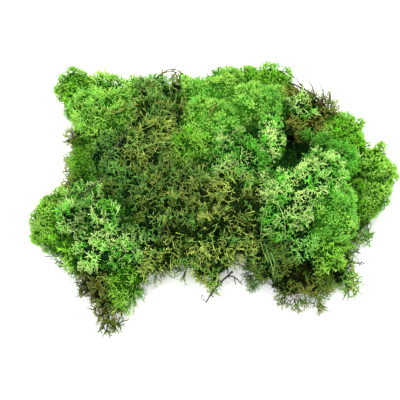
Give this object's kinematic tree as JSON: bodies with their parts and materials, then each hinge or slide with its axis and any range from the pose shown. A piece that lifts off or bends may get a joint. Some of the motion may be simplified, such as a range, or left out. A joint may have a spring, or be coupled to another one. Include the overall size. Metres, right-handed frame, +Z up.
{
  "type": "reindeer moss clump",
  "caption": "Loose clump of preserved reindeer moss: matted tufts of forked branchlets in mixed greens, with dead twigs caught among them",
  "frame": {"origin": "on the floor, under the middle of the clump's outline", "axes": "+X is the clump's right as pictured and its longest side, +Y points to its back, +Z up"},
  "size_m": [0.2124, 0.172, 0.0582],
  "materials": {
    "spring_moss": "matte",
    "leaf_moss": "matte",
    "pale_moss": "matte",
    "deep_moss": "matte",
    "olive_moss": "matte",
    "brown_moss": "matte",
    "bark": "matte"
  },
  "bodies": {
    "root": {"back_left_knob": "leaf_moss", "back_left_ridge": "spring_moss", "upper_left_fan": "spring_moss", "left_brown_nub": "brown_moss", "left_cushion": "leaf_moss", "left_hollow_fan": "deep_moss", "left_olive_spray": "brown_moss", "front_left_cushion": "leaf_moss", "front_left_fan": "pale_moss", "lower_left_head": "leaf_moss", "lower_left_crown": "pale_moss", "yellow_fan": "pale_moss", "lower_fan": "pale_moss", "front_tail_dark": "brown_moss", "front_tail_bright": "leaf_moss", "upper_olive_mat": "olive_moss", "middle_olive_net": "olive_moss", "back_middle_mat": "deep_moss", "left_middle_dark": "deep_moss", "middle_hollow_dark": "deep_moss", "centre_green": "leaf_moss", "centre_olive_mat": "olive_moss", "centre_right_olive_mat": "olive_moss", "front_olive_mat": "olive_moss", "front_right_olive_mat": "olive_moss", "front_middle_fringe": "olive_moss", "front_left_olive": "olive_moss", "back_bright_cushion": "spring_moss", "upper_bright_cushion": "spring_moss", "centre_bright_fan": "spring_moss", "right_strand_fan": "pale_moss", "centre_pale_fan": "pale_moss", "back_right_lobes": "leaf_moss", "right_brown_mat": "brown_moss", "right_small_crown": "pale_moss", "right_dark_hollow": "deep_moss", "right_back_cushion": "leaf_moss", "right_crest": "pale_moss", "dome_left": "pale_moss", "dome_top": "pale_moss", "dome_right": "spring_moss", "far_right_upper": "leaf_moss", "far_right_lower": "leaf_moss", "right_low_spray": "olive_moss", "front_right_strands": "deep_moss", "front_right_olive": "brown_moss", "dome_foot_dark": "deep_moss", "right_front_green": "leaf_moss", "front_right_fringe": "olive_moss", "long_twig": "bark", "grey_twig": "bark", "upper_twig": "bark", "top_twig": "bark", "spiky_twig": "bark", "curled_stem": "bark", "front_stick": "bark", "bark_flake": "bark"}
  },
  "joints": []
}
